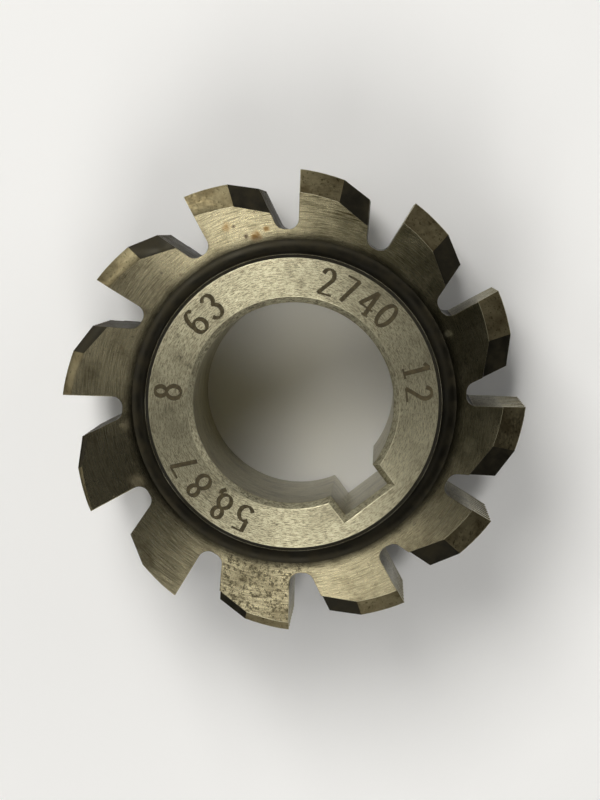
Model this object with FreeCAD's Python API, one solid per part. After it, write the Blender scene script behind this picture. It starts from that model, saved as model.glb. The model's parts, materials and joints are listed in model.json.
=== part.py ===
"""Gear hob, right-hand, single start, straight gashes, keyed bore.

One piece of ground high-speed steel, so one solid: parts/hob.step.
Millimetres, +Z along the bore, standing on its plain hub face at z = 0,
the axis at x = y = 0 and the keyway on +X.

Everything below the driving sizes is worked out from them.
"""
import FreeCAD, Part
import math
import os

# ---------------------------------------------------------------- driving sizes
MODULE = 1.25            # gear module the hob cuts
PRESSURE_ANGLE = 20.0    # degrees, flank to the radial line
OUTSIDE_D = 63.0         # over the tooth tips at the cutting faces
LENGTH = 40.0            # over both hub faces
HUB_D = 40.0             # the plain collar at each end
HUB_LENGTH = 4.0         # how far each collar stands off the toothed body
HUB_HOLLOW = 2.0         # radius of the hollow corner between collar and body
HOLLOW_STEPS = 3         # straight steps that the corner is turned in
HUB_CHAMFER = 0.5        # outer edge of each collar
BORE_D = 27.0            # arbor bore
BORE_CHAMFER = 0.8       # round the bore and the keyway, both ends
KEY_WIDTH = 7.0          # keyway
KEY_ACROSS = 29.8        # far side of the bore to the keyway floor
GASHES = 12              # chip gashes, so teeth round the hob
FACE_ANGLE = -8.5        # degrees, keyway centre to the first cutting face
GASH_DEPTH = 8.2         # tooth tip to gash floor
GASH_FLOOR = 2.8         # gash width where it meets its floor
GASH_ANGLE = 27.0        # degrees, cutting face to the back wall of the gash
GASH_RADIUS = 1.4        # both bottom corners of a gash
RELIEF_DROP = 2.0        # radial fall per gash pitch behind the cutting face
BACK_DROP = 5.4          # radial fall per gash pitch behind the ground land
GROUND_LAND = 11.3       # degrees of each tooth that carry the ground relief
THREAD_ANGLE = -52.0     # degrees, where the crest meets the marked end face
MIN_LAND = 0.75          # thinner run-out thread than this is cut away

# ---------------------------------------------------------------- worked out
TOOTH_HEIGHT = 2.5 * MODULE
TIP_R = OUTSIDE_D / 2.0
ROOT_R = TIP_R - TOOTH_HEIGHT
PITCH_D = OUTSIDE_D - TOOTH_HEIGHT - 0.5 * RELIEF_DROP
LEAD_ANGLE = math.degrees(math.asin(MODULE / PITCH_D))
AXIAL_PITCH = math.pi * MODULE / math.cos(math.radians(LEAD_ANGLE))
TAN_FLANK = math.tan(math.radians(PRESSURE_ANGLE))
HALF_CREST = AXIAL_PITCH / 4.0 - TAN_FLANK * TOOTH_HEIGHT / 2.0
HALF_FOOT = HALF_CREST + TAN_FLANK * TOOTH_HEIGHT
BODY_LOW = HUB_LENGTH
BODY_HIGH = LENGTH - HUB_LENGTH
HUB_R = HUB_D / 2.0
BORE_R = BORE_D / 2.0
KEY_FLOOR = KEY_ACROSS - BORE_R
GASH_R = TIP_R - GASH_DEPTH
SECTOR = 360.0 / GASHES
CORE_R = max(GASH_R, HUB_R + HUB_HOLLOW) + 0.4 * MODULE   # under the threads
INNER_R = CORE_R - MODULE                                 # foot of a tooth row


def fall(behind):
    """Radial fall of a tooth, by degrees behind its cutting face."""
    ground = min(behind, GROUND_LAND)
    back = max(behind - GROUND_LAND, 0.0)
    return (RELIEF_DROP * ground + BACK_DROP * back) / SECTOR


def crest_height(angle, turn):
    """Height of the middle of the thread crest at an angle round the hob."""
    return BODY_HIGH + AXIAL_PITCH * ((angle - THREAD_ANGLE) / 360.0 + turn)


def stub_radius(middle):
    """Top of a thread tooth; lower where the end face leaves it too thin."""
    kept_top = BODY_HIGH - middle + HALF_CREST
    kept_low = middle - BODY_LOW + HALF_CREST
    short = MIN_LAND - min(kept_top, kept_low)
    return TIP_R - max(short, 0.0) / TAN_FLANK


def rack(face_angle):
    """Points (radius, height) of the thread row at one cutting face."""
    low = BODY_LOW - AXIAL_PITCH
    high = BODY_HIGH + AXIAL_PITCH
    points = [(ROOT_R, low)]
    first = math.floor((low - crest_height(face_angle, 0)) / AXIAL_PITCH)
    for turn in range(first, first + 4 + int((high - low) / AXIAL_PITCH)):
        middle = crest_height(face_angle, turn)
        if middle - HALF_FOOT <= low or middle + HALF_FOOT >= high:
            continue
        top = stub_radius(middle)
        if top - ROOT_R < 0.1 * MODULE:
            continue
        half = HALF_CREST + (TIP_R - top) * TAN_FLANK
        points += [(ROOT_R, middle - HALF_FOOT), (top, middle - half),
                   (top, middle + half), (ROOT_R, middle + HALF_FOOT)]
    points.append((ROOT_R, high))
    return points


def section(face_angle, behind):
    """The row as a closed wire, carried some degrees behind its face."""
    angle = face_angle - behind
    radians = math.radians(angle)
    drop, lift = fall(max(behind, 0.0)), -AXIAL_PITCH * behind / 360.0
    row = [(r - drop, z + lift) for r, z in rack(face_angle)]
    row = [(INNER_R, row[0][1])] + row + [(INNER_R, row[-1][1])]
    places = [FreeCAD.Vector(r * math.cos(radians), r * math.sin(radians), z)
              for r, z in row]
    return Part.makePolygon(places + places[:1])


def back_wall(radius):
    """Degrees behind a face where the next gash is met at a radius."""
    slope = math.radians(GASH_ANGLE)
    offset = GASH_FLOOR * math.cos(slope) - GASH_R * math.sin(slope)
    return SECTOR - GASH_ANGLE - math.degrees(math.asin(offset / radius))


def tooth_row(face_angle):
    """One row of teeth: the curved ground land, then the straight back."""
    ahead = -1.0
    land = [ahead + (GROUND_LAND - ahead) * i / 3.0 for i in range(4)]
    back = [GROUND_LAND, back_wall(GASH_R)]
    ground = Part.makeLoft([section(face_angle, s) for s in land], True, False)
    rough = Part.makeLoft([section(face_angle, s) for s in back], True, True)
    return ground.fuse(rough).common(body_slab)


def gash(face_angle):
    """The slot in front of one cutting face, drawn across the axis."""
    slope = math.tan(math.radians(GASH_ANGLE))
    top = TIP_R + 2.0
    corners = [(top, 0.0), (GASH_R, 0.0), (GASH_R, GASH_FLOOR),
               (top, GASH_FLOOR + (top - GASH_R) * slope)]
    places = [FreeCAD.Vector(x, y, -1.0) for x, y in corners]
    solid = Part.Face(Part.makePolygon(places + places[:1])).extrude(
        FreeCAD.Vector(0, 0, LENGTH + 2.0))
    floor_edges = [e for e in solid.Edges
                   if abs(e.Vertexes[0].X - GASH_R) < 1e-6
                   and abs(e.Vertexes[-1].X - GASH_R) < 1e-6
                   and abs(e.Vertexes[0].Z - e.Vertexes[-1].Z) > 1.0]
    solid = solid.makeFillet(GASH_RADIUS, floor_edges)
    solid.rotate(FreeCAD.Vector(0, 0, 0), FreeCAD.Vector(0, 0, 1), face_angle)
    return solid


def collar_and_core():
    """Collars, hollow corners and the plain core, turned in one go."""
    corner = [math.radians(90.0 * i / HOLLOW_STEPS) for i in range(HOLLOW_STEPS + 1)]
    low_end = [(0.0, 0.0), (HUB_R - HUB_CHAMFER, 0.0), (HUB_R, HUB_CHAMFER)]
    low_end += [(HUB_R + HUB_HOLLOW * (1.0 - math.cos(a)),
                 BODY_LOW - HUB_HOLLOW * (1.0 - math.sin(a))) for a in corner]
    low_end.append((CORE_R, BODY_LOW))
    high_end = [(r, LENGTH - z) for r, z in reversed(low_end)]
    places = [FreeCAD.Vector(r, 0, z) for r, z in low_end + high_end]
    return Part.Face(Part.makePolygon(places + places[:1])).revolve(
        FreeCAD.Vector(0, 0, 0), FreeCAD.Vector(0, 0, 1), 360)


def bore_and_keyway():
    """Everything the arbor and its key take out, with the edge chamfers."""
    c = BORE_CHAMFER
    V = FreeCAD.Vector

    def slot(grow, z):
        w, x = KEY_WIDTH / 2.0 + grow, KEY_FLOOR + grow
        pts = [V(0, -w, z), V(x, -w, z), V(x, w, z), V(0, w, z)]
        return Part.makePolygon(pts + pts[:1])

    tools = [Part.makeCylinder(BORE_R, LENGTH),
             Part.Face(slot(0.0, 0.0)).extrude(V(0, 0, LENGTH))]
    for face, inward in ((0.0, 1.0), (LENGTH, -1.0)):
        # run on past the face so no cut ends exactly on it
        tools.append(Part.makeCone(BORE_R + 2.0 * c, BORE_R, 2.0 * c,
                                   V(0, 0, face - inward * c), V(0, 0, inward)))
        tools.append(Part.makeLoft([slot(2.0 * c, face - inward * c),
                                    slot(0.0, face + inward * c)], True, True))
    return tools


faces = [FACE_ANGLE + SECTOR * k for k in range(GASHES)]
body_slab = Part.makeCylinder(OUTSIDE_D, BODY_HIGH - BODY_LOW,
                              FreeCAD.Vector(0, 0, BODY_LOW))

body = collar_and_core().multiFuse([tooth_row(a) for a in faces])
body = body.cut([gash(a) for a in faces])
body = body.cut(bore_and_keyway())
hob = body.removeSplitter()
hob = hob.Solids[0] if len(hob.Solids) == 1 else hob

os.makedirs("parts", exist_ok=True)
hob.exportStep("parts/hob.step")

box = hob.BoundBox
print("solids %d valid %s faces %d" % (len(hob.Solids), hob.isValid(), len(hob.Faces)))
print("box %.3f %.3f %.3f  %.3f %.3f %.3f" % (box.XMin, box.YMin, box.ZMin,
                                             box.XMax, box.YMax, box.ZMax))
print("volume %.1f mm3, lead angle %.3f deg, axial pitch %.4f" % (
    hob.Volume, LEAD_ANGLE, AXIAL_PITCH))
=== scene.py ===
# %% [markdown]
# # Gear hob: the looks over the packed solid
#
# The packed solid already has every tooth, gash and collar, so this script
# keeps its form and works on what the eye meets next: broken edges, numbers
# stamped into the collar, seven finishes of one steel, and soft light.
#
# Lengths are written in millimetres and turned into metres with `MM`.

import json
import math
import random

import bmesh
import bpy
from mathutils import Matrix, Vector, geometry


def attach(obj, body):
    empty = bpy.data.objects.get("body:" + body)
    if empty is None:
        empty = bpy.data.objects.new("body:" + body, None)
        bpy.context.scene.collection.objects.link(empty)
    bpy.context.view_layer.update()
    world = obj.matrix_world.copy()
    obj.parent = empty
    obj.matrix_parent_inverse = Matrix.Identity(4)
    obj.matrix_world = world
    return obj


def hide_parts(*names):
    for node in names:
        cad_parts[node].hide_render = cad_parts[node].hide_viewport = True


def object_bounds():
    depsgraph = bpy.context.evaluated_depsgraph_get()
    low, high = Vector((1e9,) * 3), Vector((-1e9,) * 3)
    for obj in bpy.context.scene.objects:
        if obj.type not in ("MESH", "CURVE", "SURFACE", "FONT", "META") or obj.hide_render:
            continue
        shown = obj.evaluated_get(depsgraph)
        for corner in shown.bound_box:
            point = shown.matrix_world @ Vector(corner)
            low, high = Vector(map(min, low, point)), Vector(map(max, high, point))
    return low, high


MM = 0.001
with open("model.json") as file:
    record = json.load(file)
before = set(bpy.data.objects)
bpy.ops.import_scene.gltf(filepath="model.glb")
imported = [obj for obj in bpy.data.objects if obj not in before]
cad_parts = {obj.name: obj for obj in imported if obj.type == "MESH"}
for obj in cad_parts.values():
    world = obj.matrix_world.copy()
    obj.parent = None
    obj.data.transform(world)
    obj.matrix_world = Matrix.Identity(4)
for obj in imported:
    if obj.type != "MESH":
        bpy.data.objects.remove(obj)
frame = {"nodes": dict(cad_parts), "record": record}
low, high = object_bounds()
print("CAD box mm", [round(c / MM, 3) for c in (*low, *high)])

# %% [markdown]
# ## Named places
#
# The frame gives the box and the bore. The rest are the hob's own sizes. The
# keyway lies on +X, and the rows of teeth start at `FIRST_FACE` and repeat.
# Places on the end face are named as on a clock: 0 is the top of the view that
# the camera will have, and `KEY_CLOCK` is where the keyway stands on it.

# %% Sizes and places
TOP = high[2] / MM
BORE_R = frame["record"]["mounts"][0]["dims"]["r_mm"]
COLLAR_R = 20.0
COLLAR_LENGTH = 4.0
BODY_TOP = TOP - COLLAR_LENGTH
GASHES = 12
SECTOR = 360.0 / GASHES
FIRST_FACE = -8.5
GROUND_LAND = 11.3
KEY_CLOCK = 143.0
EDGE_BREAK = 0.05
print("teeth rows", GASHES, "bore", 2 * BORE_R, "body top at", BODY_TOP)


def clock(angle):
    """Unit direction on the collar for an angle clockwise from the top."""
    turn = math.radians(KEY_CLOCK - angle)
    return Vector((math.cos(turn), math.sin(turn), 0.0))


def behind_face(x, y):
    """Degrees behind the nearest cutting face, 0 to 30."""
    return (FIRST_FACE - math.degrees(math.atan2(y, x))) % SECTOR


# %% [markdown]
# ## The mesh, welded and broken at its edges
#
# The packed mesh is split along every sharp edge. Welding closes it, merging
# flat triangles leaves clean faces, and a bevel of a few hundredths of a
# millimetre gives each ground edge the thin bright line that real ones have.

# %% Weld, merge and break the edges
WELD = 0.001            # points this near are one point
FLAT_WITHIN = 0.3       # degrees between triangles of one flat face
BROKEN_FROM = 28        # degrees from which an edge counts as a corner

mesh = frame["nodes"]["hob"].data.copy()
mesh.name = "hob_ground"
mesh.materials.clear()
bm = bmesh.new()
bm.from_mesh(mesh)
bmesh.ops.remove_doubles(bm, verts=bm.verts, dist=WELD * MM)
bmesh.ops.dissolve_limit(bm, angle_limit=math.radians(FLAT_WITHIN),
                         use_dissolve_boundaries=False,
                         verts=bm.verts, edges=bm.edges, delimit=set())
bm.normal_update()
edge_wear = bm.faces.layers.float.new("edge_wear")
corners = [e for e in bm.edges
           if e.is_convex and e.calc_face_angle() > math.radians(BROKEN_FROM)]
broken = bmesh.ops.bevel(bm, geom=corners, offset=EDGE_BREAK * MM,
                         offset_type="OFFSET", segments=2, profile=0.5,
                         affect="EDGES", clamp_overlap=False)
for face in broken["faces"]:
    face[edge_wear] = 1.0
print("edges broken", len(corners), "faces now", len(bm.faces))

# %% [markdown]
# ## Numbers on the collar
#
# Each figure is a few pen strokes, and the pen is broad on upright strokes and
# thin on level ones, which gives stamped figures their look. The numbers are
# the hob's own plain sizes. A figure is a run of arcs and lines in a box one
# unit high.

# %% The pen
FIGURE_HEIGHT = 3.8
FIGURE_RADIUS = 17.0
FIGURE_DEPTH = 0.05
PEN_THICK, PEN_THIN = 0.16, 0.075
PEN_OVERRUN = 0.25      # of the half width, past each end of a stroke
ARC_STEP = 18           # degrees between the points of an arc


def arc(cx, cy, rx, ry, start, end):
    """Points of an elliptic arc, in degrees anticlockwise from the right."""
    count = max(3, int(abs(end - start) / ARC_STEP))
    turns = [math.radians(start + (end - start) * i / count)
             for i in range(count + 1)]
    return [(cx + rx * math.cos(t), cy + ry * math.sin(t)) for t in turns]


print("a full round has", len(arc(0, 0, 1, 1, 0, 360)), "points")

# %% The figures
FIGURES = {
    "0": [arc(0.30, 0.50, 0.22, 0.45, 0, 360)],
    "1": [[(0.32, 0.96), (0.32, 0.05)], [(0.14, 0.82), (0.30, 0.95)],
          [(0.14, 0.04), (0.50, 0.04)]],
    "2": [arc(0.30, 0.71, 0.20, 0.24, 165, -40) + [(0.08, 0.05)],
          [(0.07, 0.05), (0.55, 0.05)]],
    "3": [arc(0.27, 0.74, 0.19, 0.21, 155, -85),
          arc(0.27, 0.28, 0.22, 0.25, 85, -155)],
    "4": [[(0.40, 0.95), (0.05, 0.30)], [(0.04, 0.30), (0.58, 0.30)],
          [(0.42, 0.95), (0.42, 0.04)], [(0.30, 0.04), (0.54, 0.04)]],
    "5": [[(0.15, 0.94), (0.52, 0.94)], [(0.15, 0.94), (0.13, 0.55)],
          arc(0.27, 0.31, 0.23, 0.27, 130, -150)],
    "6": [arc(0.31, 0.50, 0.23, 0.45, 55, 200),
          arc(0.30, 0.29, 0.22, 0.25, 0, 360)],
    "7": [[(0.08, 0.94), (0.54, 0.94)], [(0.53, 0.93), (0.24, 0.04)]],
    "8": [arc(0.30, 0.75, 0.17, 0.20, 0, 360),
          arc(0.30, 0.28, 0.22, 0.25, 0, 360)],
    ",": [[(0.10, 0.12), (0.12, 0.02), (0.05, -0.10)]],
}
print("figures", len(FIGURES), "strokes", sum(map(len, FIGURES.values())))

# %% Where each figure stands
# figure and its clock angle on the collar
STAMPS = [("6", 310), ("3", 320.5), ("2", 16), ("7", 26), ("4", 37), ("0", 47),
          ("1", 75), ("2", 86), ("5", 204), ("8", 214.5), (",", 221.5),
          ("8", 229), ("7", 239.5), ("8", 275)]
SHAKE_CLOCK, SHAKE_TILT, SHAKE_OUT = 0.4, 2.5, 0.12


def pen_quads(stroke):
    """The stroke as quads, wide where the pen moves up or down."""
    quads = []
    for (ax, ay), (bx, by) in zip(stroke, stroke[1:]):
        length = math.hypot(bx - ax, by - ay)
        dx, dy = (bx - ax) / length, (by - ay) / length
        half = 0.5 * (PEN_THIN + (PEN_THICK - PEN_THIN) * abs(dy))
        nx, ny = -dy * half, dx * half
        ex, ey = dx * PEN_OVERRUN * half, dy * PEN_OVERRUN * half
        quads.append([(ax - ex + nx, ay - ey + ny), (ax - ex - nx, ay - ey - ny),
                      (bx + ex - nx, by + ey - ny), (bx + ex + nx, by + ey + ny)])
    return quads


shake = random.Random(7)
pen_marks = []
for figure, angle in STAMPS:
    out = clock(angle + shake.uniform(-SHAKE_CLOCK, SHAKE_CLOCK))
    tilt = Matrix.Rotation(
        math.radians(shake.uniform(-SHAKE_TILT, SHAKE_TILT)), 3, "Z")
    up = tilt @ out
    along = Vector((up.y, -up.x, 0.0))
    place = out * (FIGURE_RADIUS + shake.uniform(-SHAKE_OUT, SHAKE_OUT))
    for stroke in FIGURES[figure]:
        for quad in pen_quads(stroke):
            pen_marks.append([(place + along * ((x - 0.3) * FIGURE_HEIGHT)
                               + up * ((y - 0.5) * FIGURE_HEIGHT)).to_2d()
                              for x, y in quad])
print("pen quads", len(pen_marks))

# %% [markdown]
# ## Cutting the numbers into the flat ring
#
# The ring is taken out and drawn again as one flat triangulation that has the
# pen's outlines as edges. Triangles under the pen go down by `FIGURE_DEPTH`,
# and short walls join them to the ring, so the numbers are real hollows.

# %% Take the ring out
def inside(point, polygon):
    """Even-odd test of a point against a closed outline."""
    x, y = point
    hit = False
    for (ax, ay), (bx, by) in zip(polygon, polygon[1:] + polygon[:1]):
        if (ay > y) != (by > y) and x < (bx - ax) * (y - ay) / (by - ay) + ax:
            hit = not hit
    return hit


ring_faces = {f for f in bm.faces if f.normal.z > 0.999
              and abs(f.calc_center_median().z / MM - TOP) < 0.002}
rim = {e for f in ring_faces for e in f.edges
       if sum(g in ring_faces for g in e.link_faces) == 1}
loops = []
left = set(rim)
while left:
    edge = left.pop()
    run = [edge.verts[0], edge.verts[1]]
    while True:
        onward = [e for e in run[-1].link_edges if e in left]
        if not onward:
            break
        left.discard(onward[0])
        run.append(onward[0].other_vert(run[-1]))
    loops.append(run[:-1] if run[0] is run[-1] else run)
loops.sort(key=lambda run: -max(v.co.to_2d().length for v in run))
bmesh.ops.delete(bm, geom=list(ring_faces), context="FACES_ONLY")
print("ring outlines", [len(run) for run in loops])

# %% Draw the ring again
points, edges, kept = [], [], []
for run in loops[:2]:
    start = len(points)
    points += [v.co.to_2d() / MM for v in run]
    kept += run
    edges += [(start + i, start + (i + 1) % len(run)) for i in range(len(run))]
outlines = [[tuple(v.co.to_2d() / MM) for v in run] for run in loops[:2]]
for quad in pen_marks:
    start = len(points)
    points += quad
    edges += [(start + i, start + (i + 1) % 4) for i in range(4)]
flat, _, triangles, sources, _, _ = geometry.delaunay_2d_cdt(
    points, edges, [], 0, 1e-5, True)

print("flat points", len(flat), "triangles", len(triangles))

# %% The corners of the new ring
ring_level = loops[0][0].co.z
surface = {}
for index, (place, source) in enumerate(zip(flat, sources)):
    old = [s for s in source if s < len(kept)]
    surface[index] = kept[old[0]] if old else bm.verts.new(
        (place.x * MM, place.y * MM, ring_level))
floor_verts = {}


def floor_vert(index):
    if index not in floor_verts:
        x, y, z = surface[index].co
        floor_verts[index] = bm.verts.new((x, y, z - FIGURE_DEPTH * MM))
    return floor_verts[index]


print("corners on the ring", len(surface))

# %% Sink what lies under the pen
boxes = [(min(p[0] for p in q), max(p[0] for p in q),
          min(p[1] for p in q), max(p[1] for p in q), [tuple(p) for p in q])
         for q in pen_marks]
stamped, plain_edges = set(), {}
for triangle in triangles:
    middle = sum((flat[i] for i in triangle), Vector((0.0, 0.0))) / 3.0
    if not inside(middle, outlines[0]) or inside(middle, outlines[1]):
        continue
    cut = any(a <= middle.x <= b and c <= middle.y <= d and inside(middle, q)
              for a, b, c, d, q in boxes)
    if cut:
        face = bm.faces.new([floor_vert(i) for i in triangle])
        stamped.add(face)
    else:
        face = bm.faces.new([surface[i] for i in triangle])
    for a, b in zip(triangle, triangle[1:] + triangle[:1]):
        plain_edges.setdefault((min(a, b), max(a, b)), []).append((cut, a, b))
for sides in plain_edges.values():
    if len(sides) == 2 and sides[0][0] != sides[1][0]:
        a, b = next((a, b) for cut, a, b in sides if not cut)
        stamped.add(bm.faces.new([surface[b], surface[a],
                                  floor_vert(a), floor_vert(b)]))
bmesh.ops.delete(bm, geom=[v for v in bm.verts if not v.link_faces],
                 context="VERTS")
bmesh.ops.recalc_face_normals(bm, faces=bm.faces)
print("stamped faces", len(stamped), "open edges",
      sum(not e.is_manifold for e in bm.edges))

# %% [markdown]
# ## Which surface is which
#
# A hob leaves the works with several finishes. They could be painted on by
# hand, but here the place and the direction of a face tell which one it has,
# so the rule still holds when a tooth or the collar changes size.

# %% Sort the faces
KINDS = ["collar", "turned", "cutting", "relieved", "oxide", "stamped", "bore"]
CHAMFER_DEPTH = 0.9     # the end face and its chamfers are less deep
CHAMFER_R = 19.2        # the collar's outer chamfer lies outside this
HOLLOW_DEPTH = 2.0      # the hollow's corner starts this far above the body
TOOTH_FOOT_R = 26.5
LEVEL, UPRIGHT_FACE = 0.98, 0.97


def kind_of(face):
    """The finish of a face, from where it lies and which way it looks."""
    middle = face.calc_center_median() / MM
    r, z = middle.to_2d().length, middle.z
    depth = min(z, TOP - z)
    normal = face.normal
    if face in stamped:
        return "stamped"
    if abs(normal.z) > LEVEL and abs(depth - COLLAR_LENGTH) < 0.03:
        return "turned"
    if r < COLLAR_R - 0.1 and depth < CHAMFER_DEPTH and abs(normal.z) > 0.2:
        chamfered = r > CHAMFER_R and abs(normal.z) < 0.95
        return "oxide" if chamfered else "collar"
    if r < COLLAR_R - 0.05 and depth > 0.1:
        return "bore"
    if depth < COLLAR_LENGTH - 0.02:
        straight = depth < COLLAR_LENGTH - HOLLOW_DEPTH + 0.05
        return "bore" if r < COLLAR_R + 0.06 and straight else "oxide"
    behind = behind_face(middle.x, middle.y)
    facing = normal.dot(Vector((-middle.y, middle.x, 0.0)).normalized())
    if facing > UPRIGHT_FACE and (behind < 0.6 or behind > SECTOR - 0.6):
        return "cutting"
    if behind < GROUND_LAND - 0.02 and r > TOOTH_FOOT_R and facing > -0.6:
        return "relieved"
    return "oxide"


tally = dict.fromkeys(KINDS, 0)
for face in bm.faces:
    kind = kind_of(face)
    face.material_index = KINDS.index(kind)
    tally[kind] += 1
    face.smooth = True
print("kinds", tally)

# %% [markdown]
# ## Sharp and smooth edges
#
# The hollow corners and gash floors are round, so their facets are shaded as
# one surface. Edges that turn far stay sharp, and so do the line where the
# ground land ends and the rims of the stamped numbers. Weighted normals keep
# the large flat faces flat up to their broken edges.

# %% Mark the sharp edges
SHARP_TURN = math.radians(38)

for edge in bm.edges:
    if len(edge.link_faces) == 2:
        a, b = edge.link_faces
        meets = {KINDS[a.material_index], KINDS[b.material_index]}
        edge.smooth = not (a.normal.angle(b.normal, 0.0) > SHARP_TURN
                           or {"relieved", "oxide"} <= meets
                           or "stamped" in meets)
print("sharp edges", sum(not edge.smooth for edge in bm.edges))

# %% The finished mesh
bm.to_mesh(mesh)
bm.free()
hob = bpy.data.objects.new("hob_finished", mesh)
bpy.context.scene.collection.objects.link(hob)
weigh = hob.modifiers.new("weighted_normals", "WEIGHTED_NORMAL")
weigh.keep_sharp = True
weigh.weight = 60
print("hob corners", len(mesh.vertices), "faces", len(mesh.polygons))

# %% [markdown]
# ## A short way to write shader nodes
#
# Steel needs many small nodes. `Shader` adds one node per call: a number or a
# colour sets the node's socket, and another node's output is linked to it.
# `ramp` turns noise into a soft contrast, and `mix` lays one tone on another.

# %% The node writer
QUARTER_TURN = 0.25     # in whole turns, from the radius to the ring


def feed(tree, socket, value):
    """Link an output to a socket, or set the socket to a plain value."""
    if isinstance(value, bpy.types.NodeSocket):
        tree.links.new(value, socket)
    else:
        socket.default_value = value


class Shader:
    """One material and a few calls that add nodes to it."""

    def __init__(self, name):
        self.material = bpy.data.materials.new(name)
        self.material.use_nodes = True
        self.tree = self.material.node_tree
        self.tree.nodes.clear()
        self.place = self.add("TexCoord").outputs["Object"]

    def add(self, kind, settings=(), sockets=()):
        node = self.tree.nodes.new("ShaderNode" + kind)
        for name, value in dict(settings).items():
            setattr(node, name, value)
        for key, value in dict(sockets).items():
            feed(self.tree, node.inputs[key], value)
        return node

    def math(self, operation, *values, clamp=False):
        settings = {"operation": operation, "use_clamp": clamp}
        return self.add("Math", settings, enumerate(values)).outputs[0]

    def vector(self, operation, *values, output=0):
        return self.add("VectorMath", {"operation": operation},
                        enumerate(values)).outputs[output]

    def ramp(self, value, low, high, to_low=0.0, to_high=1.0):
        return self.add("MapRange", {"interpolation_type": "SMOOTHSTEP"},
                        {"Value": value, "From Min": low, "From Max": high,
                         "To Min": to_low, "To Max": to_high}).outputs[0]

    def mix(self, factor, a, b):
        return self.add("Mix", {"data_type": "RGBA"},
                        {0: factor, 6: a, 7: b}).outputs[2]

    def noise(self, scale, detail=3.0, rough=0.55, coords=None, output="Fac"):
        return self.add("TexNoise", (), {
            "Vector": coords or self.place, "Scale": scale, "Detail": detail,
            "Roughness": rough}).outputs[output]

    def stretched(self, x, y, z):
        return self.vector("MULTIPLY", self.place, (x, y, z))

    def bump(self, height, strength, distance):
        return self.add("Bump", (), {"Height": height, "Strength": strength,
                                     "Distance": distance * MM}).outputs[0]

    def wear(self):
        """1 on the broken edges, where handling keeps the steel bright."""
        return self.add("Attribute", {"attribute_name": "edge_wear"}).outputs["Fac"]

    def finish(self, colour, rough, normal=None, metallic=1.0, turned=0.0,
               specular=0.5):
        """The surface itself; `turned` stretches glints across the rings."""
        shader = self.add("BsdfPrincipled")
        ins = shader.inputs
        feed(self.tree, ins["Base Color"], colour)
        feed(self.tree, ins["Roughness"], rough)
        feed(self.tree, ins["Metallic"], metallic)
        if normal is not None:
            feed(self.tree, ins["Normal"], normal)
        ins["Anisotropic"].default_value = turned
        ins["Specular IOR Level"].default_value = specular
        if turned:
            ins["Anisotropic Rotation"].default_value = QUARTER_TURN
            tangent = self.add("Tangent", {"direction_type": "RADIAL", "axis": "Z"})
            self.tree.links.new(tangent.outputs[0], ins["Tangent"])
        out = self.add("OutputMaterial")
        self.tree.links.new(shader.outputs[0], out.inputs[0])
        print(self.material.name, "has", len(self.tree.nodes), "nodes")
        return self.material


print("calls", [name for name in vars(Shader) if name[0] != "_"])

# %% [markdown]
# ## Places on the round hob
#
# Turning and grinding leave marks that run round the axis. Noise follows them
# when its coordinates run fast across the radius and slowly round it. Stains,
# dirt and a painted shade sit at places of their own: a `spot` fades out round
# a point, and a `sector` covers one side of the hob.

# %% Rings, spots and sides
FLATTEN = (1.0, 1.0, 0.0)
SPOT_WANDER = 900.0
SECTOR_CORE = 0.45      # share of a sector's half width that is full


def from_axis(s):
    """Distance from the hob's axis, in metres."""
    return s.vector("LENGTH", s.vector("MULTIPLY", s.place, FLATTEN),
                    output="Value")


def round_coords(s, across, along):
    """Coordinates that run fast across the radius and slowly round it."""
    unit = s.vector("NORMALIZE", s.vector("MULTIPLY", s.place, FLATTEN))
    x, y, _ = s.add("SeparateXYZ", (), {"Vector": unit}).outputs
    return s.add("CombineXYZ", (), {
        "X": s.math("MULTIPLY", from_axis(s), across),
        "Y": s.math("MULTIPLY", x, along),
        "Z": s.math("MULTIPLY", y, along)}).outputs[0]


def spot(s, angle, radius, level, size, softness):
    """1 near a place on an end face and 0 past it, with a wandering rim."""
    x, y, _ = clock(angle) * radius
    off = s.vector("SUBTRACT", s.place, (x * MM, y * MM, level * MM))
    wander = s.noise(SPOT_WANDER, output="Color", rough=0.5)
    shift = s.vector("MULTIPLY", s.vector("SUBTRACT", wander, (0.5,) * 3),
                     (size * MM,) * 3)
    far = s.vector("LENGTH", s.vector("ADD", off, shift), output="Value")
    return s.ramp(far, size * MM * (1.0 - softness), size * MM, 1.0, 0.0)


def sector(s, angle, half_width):
    """1 on the side of the hob that faces a clock angle, fading out."""
    flat = s.vector("NORMALIZE", s.vector("MULTIPLY", s.place, FLATTEN))
    dot = s.vector("DOT_PRODUCT", flat, tuple(clock(angle)), output="Value")
    return s.ramp(dot, math.cos(math.radians(half_width)),
                  math.cos(math.radians(half_width * SECTOR_CORE)))


print("the view's top lies at", [round(c, 2) for c in clock(0)])


# %% [markdown]
# ## The tones of one steel
#
# The hob is one warm grey high-speed steel. What differs is how much of it is
# bare: ground faces are bright, turned ones duller, and the skin from the
# hardening fire is nearly black. Colours are given as they look on a screen,
# from 0 to 255, and made linear here.

# %% Colours
def rgb(r, g, b):
    """A colour given as it looks on screen, 0 to 255, made linear."""
    return tuple(((c / 255.0) ** 2.2) for c in (r, g, b)) + (1.0,)


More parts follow.
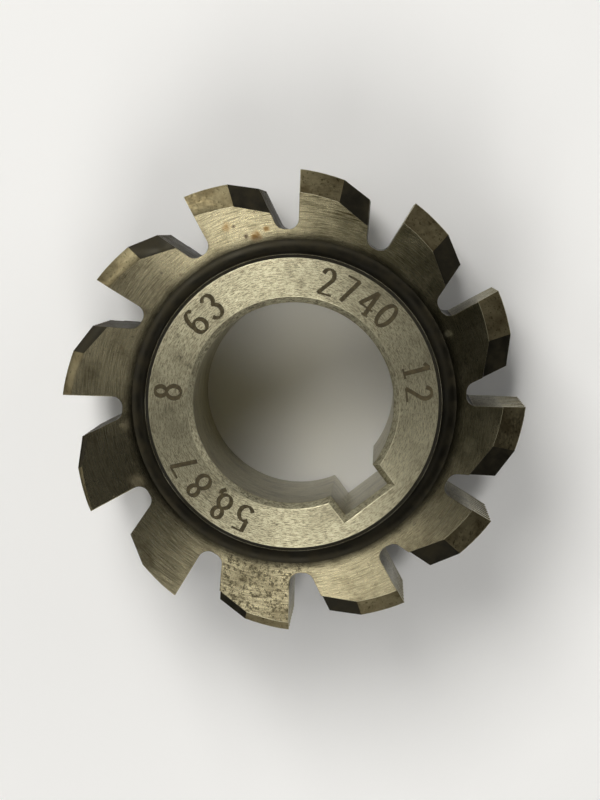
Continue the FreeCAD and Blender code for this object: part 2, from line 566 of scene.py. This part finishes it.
GROUND = rgb(194, 188, 158)
STEEL = rgb(184, 178, 150)
FACE = rgb(160, 152, 123)
LAND = rgb(112, 105, 82)
DULL = rgb(96, 90, 72)
STAMP_PALE = rgb(84, 75, 52)
BROWN = rgb(76, 68, 50)
OLIVE = rgb(58, 56, 40)
STAMP_DARK = rgb(56, 49, 32)
SKIN_PALE = rgb(50, 46, 34)
SPECK = rgb(50, 44, 27)
SKIN = rgb(36, 34, 27)
AMBER = rgb(128, 92, 16)
RUST = rgb(66, 46, 16)
finishes = {}
print("light a face sends back, darkest to brightest:",
      [round(tone[1], 3) for tone in (SKIN, OLIVE, DULL, FACE, STEEL, GROUND)])

# %% [markdown]
# ## The ground collar
#
# The ring that carries the numbers is the face against which the hob is
# clamped, so a wheel has ground it flat. Its grain is a weave: fine rings
# crossed by straight lines. Pores and thumb smudges lie on it, and a smudge
# is a soft spot broken up by fine grit.

# %% Ground collar
# clock angle, radius, size and strength
SMUDGES = [(358, 17.6, 1.0, 0.6), (4, 16.0, 0.8, 0.5), (1, 18.4, 0.5, 0.6),
           (292, 16.6, 1.1, 0.6), (290, 14.9, 0.7, 0.9), (300, 17.9, 0.8, 0.5),
           (267, 16.9, 1.3, 0.55), (264, 17.6, 0.8, 0.4), (188, 16.6, 0.35, 0.9),
           (62, 18.2, 0.9, 0.3), (100, 15.4, 1.4, 0.3), (156, 16.2, 1.0, 0.35)]


def ground_collar():
    s = Shader("steel_ground_collar")
    rings = s.noise(1.0, 3.0, 0.6, round_coords(s, 15000.0, 24.0))
    level = s.noise(1.0, 3.0, 0.6, s.stretched(2400.0, 13000.0, 1000.0))
    upright = s.noise(1.0, 3.0, 0.6, s.stretched(13000.0, 2400.0, 1000.0))
    weave = s.math("ADD", s.math("MULTIPLY", rings, 0.6),
                   s.math("MULTIPLY", s.math("ADD", level, upright), 0.2))
    cloud = s.noise(260.0, 4.0, 0.6)
    tone = s.mix(s.ramp(weave, 0.46, 0.56, 0.0, 0.85), GROUND, DULL)
    tone = s.mix(s.ramp(cloud, 0.42, 0.78, 0.0, 0.5), tone, DULL)
    pores = s.ramp(s.noise(4200.0, 4.0, 0.8), 0.58, 0.68, 0.0, 0.8)
    tone = s.mix(pores, tone, SPECK)
    grit = s.ramp(s.noise(2400.0, 4.0, 0.7), 0.40, 0.60, 0.25, 1.0)
    for angle, radius, size, strength in SMUDGES:
        amount = s.math("MULTIPLY", spot(s, angle, radius, TOP, size, 0.95), grit)
        tone = s.mix(s.math("MULTIPLY", amount, strength), tone, SPECK)
    tone = s.mix(s.math("MULTIPLY", s.wear(), 0.7), tone, STEEL)
    rough = s.ramp(weave, 0.42, 0.62, 0.30, 0.46)
    return s.finish(tone, rough, s.bump(weave, 0.5, 0.02), turned=0.6)


finishes["collar"] = ground_collar()

# %% [markdown]
# ## The turned end faces
#
# Round the collar the body's end is only turned. Its rings send light out in
# two fans, which a stretched glint does far better than painted streaks. A
# painted shade darkens one side towards olive, corrosion specks crowd near the
# foot, and amber drops of old oil have dried by the hollow. Dried oil is no
# metal, so it takes the metal and the gloss away where it lies.

# %% Turned ends
# clock angle, radius, size, tone and strength
STAINS = [(347, 23.0, 1.0, AMBER, 0.95), (344, 23.3, 0.6, RUST, 0.9),
          (339, 25.3, 0.9, AMBER, 0.6), (341, 25.0, 0.4, RUST, 0.8),
          (351, 23.7, 0.6, AMBER, 0.8), (314, 25.0, 0.28, SKIN, 1.0),
          (287, 24.4, 0.5, RUST, 0.7), (318, 23.0, 0.5, RUST, 0.5),
          (301, 23.4, 0.8, SPECK, 0.8), (297, 23.9, 0.5, SPECK, 0.8),
          (66, 22.8, 0.9, OLIVE, 0.7), (104, 24.6, 2.2, OLIVE, 0.5),
          (243, 24.0, 2.0, BROWN, 0.6), (262, 23.2, 1.4, BROWN, 0.5)]
# The first side carries a painted shade; the other two carry specks and streaks.
SHADE_SIDE, SHADE_HALF = 62, 78
PITTED_SIDE, PITTED_HALF = 190, 22
STREAKED_SIDE, STREAKED_HALF = 7, 26
HOLLOW_DARK_FROM, HOLLOW_DARK_TO = 23.4 * MM, 21.9 * MM
RIM_FROM, RIM_TO = 25.0 * MM, 26.2 * MM


def turned_end():
    s = Shader("steel_turned_end")
    radius = from_axis(s)
    rings = s.noise(1.0, 4.0, 0.65, round_coords(s, 15000.0, 11.0))
    cloud = s.noise(190.0, 5.0, 0.65)
    fine = s.noise(2600.0, 4.0, 0.7)
    tone = s.mix(s.ramp(rings, 0.44, 0.62, 0.0, 0.85), FACE, DULL)
    tone = s.mix(s.ramp(cloud, 0.45, 0.72, 0.0, 0.6), tone, BROWN)
    # Painted shade: the side round clock 62 is mixed towards olive and stays dark.
    painted_shade = s.math("MULTIPLY", sector(s, SHADE_SIDE, SHADE_HALF), 0.7)
    tone = s.mix(s.math("MULTIPLY", painted_shade, s.ramp(cloud, 0.2, 0.6, 0.5, 1.0)),
                 tone, OLIVE)
    pitted = s.math("MAXIMUM", sector(s, PITTED_SIDE, PITTED_HALF),
                    s.ramp(cloud, 0.4, 0.8, 0.12, 0.5))
    speck = s.math("MULTIPLY", s.ramp(s.noise(1900.0, 5.0, 0.8), 0.49, 0.58),
                   pitted)
    tone = s.mix(s.math("MULTIPLY", speck, 0.85), tone, SPECK)
    tone = s.mix(s.ramp(fine, 0.62, 0.70, 0.0, 0.7), tone, SPECK)
    streak = s.math("MULTIPLY", s.ramp(rings, 0.50, 0.62),
                    sector(s, STREAKED_SIDE, STREAKED_HALF))
    rim = s.math("ADD", s.ramp(radius, RIM_FROM, RIM_TO), 0.25, clamp=True)
    tone = s.mix(s.math("MULTIPLY", streak, rim), tone, SPECK)
    dirt = s.math("MULTIPLY", speck, 0.25)
    grit = s.ramp(fine, 0.35, 0.55, 0.55, 1.0)
    for angle, place, size, colour, strength in STAINS:
        amount = s.math("MULTIPLY", spot(s, angle, place, BODY_TOP, size, 0.9),
                        grit)
        amount = s.math("MULTIPLY", amount, strength)
        tone = s.mix(amount, tone, colour)
        dirt = s.math("MAXIMUM", dirt, amount)
    # Darker towards the hollow: from 23.4 mm in to 21.9 mm the face is mixed towards the
    # dark skin tone.
    hollow_dark = s.math("MULTIPLY", s.ramp(radius, HOLLOW_DARK_TO, HOLLOW_DARK_FROM, 1.0, 0.0),
                   s.ramp(cloud, 0.2, 0.6, 0.75, 0.95))
    tone = s.mix(hollow_dark, tone, SKIN)
    tone = s.mix(s.math("MULTIPLY", s.wear(), 0.5), tone, STEEL)
    rough = s.math("MAXIMUM", s.ramp(rings, 0.3, 0.7, 0.24, 0.36),
                   s.math("MULTIPLY", dirt, 0.85))
    height = s.math("SUBTRACT", rings, s.math("MULTIPLY", speck, 0.6))
    return s.finish(tone, rough, s.bump(height, 0.3, 0.02),
                    s.ramp(dirt, 0.0, 1.0, 1.0, 0.15), turned=0.92)


finishes["turned"] = turned_end()

# %% [markdown]
# ## The cutting faces
#
# A cutting face is ground along the gash each time the hob is sharpened. Its
# lines run along the axis, so the noise is stretched that way, and the broken
# edges stay the brightest part of the tool.

# %% Cutting faces
def cutting_face():
    s = Shader("steel_cutting_face")
    lines = s.noise(1.0, 3.0, 0.6, s.stretched(6500.0, 6500.0, 400.0))
    cloud = s.noise(300.0, 4.0, 0.6)
    tone = s.mix(s.ramp(lines, 0.45, 0.65, 0.0, 0.6), STEEL, DULL)
    tone = s.mix(s.ramp(cloud, 0.4, 0.75, 0.0, 0.7), tone, BROWN)
    tone = s.mix(s.math("MULTIPLY", s.wear(), 0.8), tone, STEEL)
    rough = s.ramp(lines, 0.3, 0.7, 0.28, 0.42)
    return s.finish(tone, rough, s.bump(lines, 0.3, 0.015))


finishes["cutting"] = cutting_face()

# %% [markdown]
# ## The relieved lands
#
# Behind each cutting face the tooth's flanks and crest are ground too, over
# about a third of the tooth. They have gone brown with oil and age, and they
# carry dark dots. The grinding lines run round the axis.

# %% Relieved lands
def relieved_land():
    s = Shader("steel_relieved_land")
    lines = s.noise(1.0, 3.0, 0.6, round_coords(s, 5200.0, 60.0))
    cloud = s.noise(320.0, 5.0, 0.65)
    tone = s.mix(s.ramp(cloud, 0.32, 0.70, 0.15, 0.95), LAND, BROWN)
    dots = s.ramp(s.noise(2300.0, 4.0, 0.75), 0.54, 0.66, 0.0, 0.8)
    tone = s.mix(dots, tone, SPECK)
    tone = s.mix(s.math("MULTIPLY", s.wear(), 0.75), tone, STEEL)
    rough = s.ramp(lines, 0.3, 0.7, 0.32, 0.5)
    return s.finish(tone, rough, s.bump(lines, 0.35, 0.015))


finishes["relieved"] = relieved_land()

# %% [markdown]
# ## The dark skin
#
# No wheel reached the tooth backs, the gash floors and the hollow corners, so
# they kept the skin of the hardening fire. It is a thin oxide over metal:
# nearly black, a little glossy, and only partly metallic.

# %% Dark skin
def dark_skin():
    s = Shader("steel_dark_skin")
    cloud = s.noise(420.0, 5.0, 0.65)
    fine = s.noise(4200.0, 3.0, 0.6)
    tone = s.mix(s.ramp(cloud, 0.35, 0.75), SKIN, SKIN_PALE)
    tone = s.mix(s.math("MULTIPLY", s.wear(), 0.5), tone, DULL)
    rough = s.ramp(cloud, 0.3, 0.7, 0.36, 0.56)
    return s.finish(tone, rough, s.bump(fine, 0.35, 0.015), metallic=0.85)


finishes["oxide"] = dark_skin()

# %% [markdown]
# ## The floors of the stamped numbers
#
# A stamp squeezes the steel and leaves a rough floor, where oil and dust
# gather. The hollows are real, so the tone needs only to be dark and dull.

# %% Stamped floors
def stamped_floor():
    s = Shader("steel_stamped")
    cloud = s.noise(1800.0, 3.0, 0.7)
    tone = s.mix(s.ramp(cloud, 0.35, 0.75), STAMP_DARK, STAMP_PALE)
    return s.finish(tone, 0.65, s.bump(cloud, 0.4, 0.01), metallic=0.3,
                    specular=0.3)


finishes["stamped"] = stamped_floor()

# %% [markdown]
# ## The bore
#
# The bore fits the arbor, so it is ground smooth, with fine lines round its
# wall. The collar's own outside is ground with it.

# %% Bore
def bore_wall():
    s = Shader("steel_bore")
    lines = s.noise(1.0, 3.0, 0.6, s.stretched(600.0, 600.0, 12000.0))
    tone = s.mix(s.ramp(s.noise(260.0, 4.0), 0.4, 0.8, 0.0, 0.7), STEEL, DULL)
    tone = s.mix(s.ramp(lines, 0.5, 0.7, 0.0, 0.4), tone, BROWN)
    rough = s.ramp(lines, 0.3, 0.7, 0.22, 0.38)
    return s.finish(tone, rough, s.bump(lines, 0.2, 0.012))


finishes["bore"] = bore_wall()

# %% [markdown]
# ## The finished hob
#
# The finished mesh stands for the packed one, which is hidden, and moves
# with its only body. Its slots take the seven finishes.

# %% Put the finishes on
for kind in KINDS:
    mesh.materials.append(finishes[kind])
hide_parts("hob")
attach(hob, "root")
print("finishes on the hob", [slot.name for slot in mesh.materials])

# %% [markdown]
# ## The floor
#
# A plain pale sheet, wide enough to fill every view. It isn't part of the
# object.

# %% Floor
FLOOR_REACH = 3.0

floor_mesh = bpy.data.meshes.new("floor")
floor_mesh.from_pydata([(x * FLOOR_REACH, y * FLOOR_REACH, 0.0) for x, y in
                        ((-1, -1), (1, -1), (1, 1), (-1, 1))], [], [(0, 1, 2, 3)])
floor = bpy.data.objects.new("floor", floor_mesh)
bpy.context.scene.collection.objects.link(floor)
floor_mesh.materials.append(Shader("floor_pale").finish(
    rgb(250, 250, 249), 0.9, metallic=0.0, specular=0.2))
print("floor side m", 2 * FLOOR_REACH)

# %% [markdown]
# ## Soft lamps
#
# Turned rings shine in a fan towards a lamp and in a weaker one away from it.
# Two soft lamps a third of a right angle off the axis give the bright fans at
# the upper left and at the foot. A weak one lifts the left side, and a low one
# rounds the teeth off in views from the side.

# %% Lamps
centre = Vector((0.0, 0.0, TOP * MM))
LAMP_DISTANCE = 0.95
LAMP_WHITE = (1.0, 0.985, 0.955)


def lamp(name, angle, tilt, power, size, size_y):
    """A soft lamp that leans `tilt` degrees off the hob's axis."""
    tilt = math.radians(tilt)
    towards = clock(angle) * math.sin(tilt) + Vector((0.0, 0.0, math.cos(tilt)))
    light = bpy.data.lights.new(name, "AREA")
    light.shape = "RECTANGLE"
    light.size, light.size_y = size, size_y
    light.energy, light.color = power, LAMP_WHITE
    holder = bpy.data.objects.new(name, light)
    holder.location = centre + towards * LAMP_DISTANCE
    holder.rotation_euler = towards.to_track_quat("Z", "Y").to_euler()
    bpy.context.scene.collection.objects.link(holder)
    print(name, "lamp at", [round(c, 3) for c in holder.location])


lamp("key", 334, 31, 4.9, 0.34, 0.5)
lamp("second", 188, 31, 3.0, 0.34, 0.5)
lamp("left", 285, 31, 0.9, 0.34, 0.4)
lamp("low", 60, 62, 1.2, 0.7, 0.5)

# %% [markdown]
# ## The room
#
# Bare metal shows the room it stands in. The walls are pale and the ceiling
# dark, as over a table with someone leaning in, so that flat faces go dark
# where no lamp catches their rings.

# %% Room light
WALL_UP_TO, CEILING_FROM = 0.05, 0.60    # sine of the height above the floor
WALL_LIGHT, CEILING_LIGHT = 0.75, 0.03

world = bpy.data.worlds.new("studio")
bpy.context.scene.world = world
world.use_nodes = True
sky = world.node_tree
facing = sky.nodes.new("ShaderNodeTexCoord").outputs["Generated"]
height = sky.nodes.new("ShaderNodeSeparateXYZ")
sky.links.new(facing, height.inputs[0])
walls = sky.nodes.new("ShaderNodeMapRange")
walls.interpolation_type = "SMOOTHSTEP"
for name, value in (("Value", height.outputs[2]),
                    ("From Min", WALL_UP_TO), ("From Max", CEILING_FROM),
                    ("To Min", WALL_LIGHT), ("To Max", CEILING_LIGHT)):
    feed(sky, walls.inputs[name], value)
paint = sky.nodes["Background"]
paint.inputs[0].default_value = (1.0, 1.0, 1.0, 1.0)
sky.links.new(walls.outputs[0], paint.inputs[1])
print("room light from", WALL_LIGHT, "down to", CEILING_LIGHT)

# %% [markdown]
# ## The camera
#
# It looks almost straight down on the marked face, from 450 mm, and leans a
# few degrees off the axis, so the outsides of the upper teeth just show.

# %% Camera
DISTANCE = 450.0        # from the marked face
LEAN, LEAN_TOWARDS = math.radians(3.2), 26.0
SPAN = 107.4            # what the view's longer side covers there
SENSOR = 36.0
AIM_RIGHT, AIM_UP = 0.9, 0.4

up, right = clock(0), clock(90)
camera_data = bpy.data.cameras.new("camera")
camera_data.sensor_width = SENSOR
camera_data.lens = SENSOR * DISTANCE / SPAN
camera_data.clip_start = 0.01
camera = bpy.data.objects.new("camera", camera_data)
aim = centre + (right * AIM_RIGHT + up * AIM_UP) * MM
camera.location = aim + DISTANCE * MM * (
    clock(LEAN_TOWARDS) * math.sin(LEAN) + Vector((0.0, 0.0, math.cos(LEAN))))
back = (camera.location - aim).normalized()
top_edge = (up - back * up.dot(back)).normalized()
side_edge = top_edge.cross(back)
camera.rotation_euler = Matrix(
    (side_edge, top_edge, back)).transposed().to_euler()
bpy.context.scene.collection.objects.link(camera)
bpy.context.scene.camera = camera
bpy.context.scene.view_settings.view_transform = "Standard"
print("camera lens", round(camera_data.lens, 1))

# %% [markdown]
# ## The size
#
# The packed part's box is printed at the start, in millimetres.
